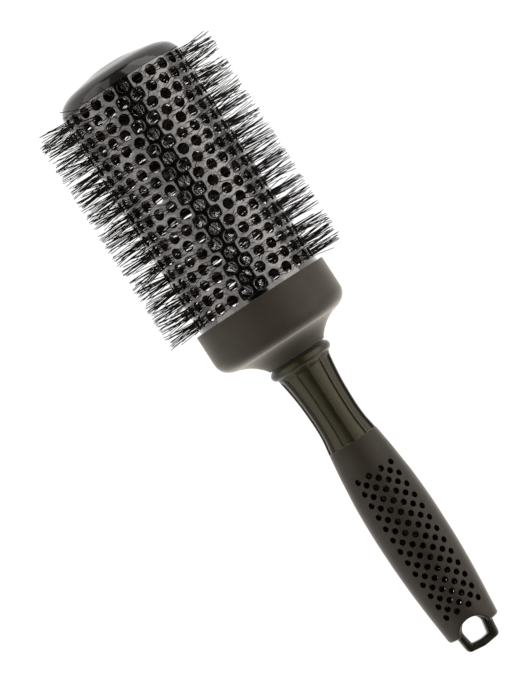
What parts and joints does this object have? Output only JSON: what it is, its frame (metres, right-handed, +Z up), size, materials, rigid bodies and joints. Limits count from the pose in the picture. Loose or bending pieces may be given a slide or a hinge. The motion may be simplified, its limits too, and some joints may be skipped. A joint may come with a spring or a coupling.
{
  "type": "round barrel hair brush",
  "caption": "Round thermal hair brush: vented metal barrel with bristle tufts on a twisted-wire core, ribbed neck, vented soft-touch grip and a hanging loop.",
  "frame": {"origin": "on the surface the brush lies on, under the middle of its length, between its sides", "axes": "+X along the brush's axis, from the domed cap towards the hanging loop; +Z up, out of the side with the vents; the brush lies on its bristle tips"},
  "size_m": [0.266, 0.078, 0.078],
  "materials": {
    "cap": "glossy dark grey moulded cap",
    "barrel": "satin grey coated barrel",
    "bristle": "black nylon filaments",
    "wire": "bright drawn wire",
    "base": "matt grey-brown moulding",
    "neck": "semi-gloss dark olive moulding",
    "grip": "matt grey-brown soft-touch",
    "loop": "glossy black-brown moulding"
  },
  "bodies": {
    "root": {"end_cap": "cap", "barrel_tube": "barrel", "bristle_ring_01": "bristle", "bristle_ring_02": "bristle", "bristle_ring_03": "bristle", "bristle_ring_04": "bristle", "bristle_ring_05": "bristle", "bristle_ring_06": "bristle", "bristle_ring_07": "bristle", "bristle_ring_08": "bristle", "bristle_ring_09": "bristle", "bristle_ring_10": "bristle", "bristle_ring_11": "bristle", "bristle_ring_12": "bristle", "bristle_ring_13": "bristle", "bristle_ring_14": "bristle", "bristle_ring_15": "bristle", "bristle_ring_16": "bristle", "bristle_ring_17": "bristle", "bristle_ring_18": "bristle", "core_wire_a": "wire", "core_wire_b": "wire", "barrel_base": "base", "handle_neck": "neck", "grip_sleeve": "grip", "hang_loop": "loop"}
  },
  "joints": []
}
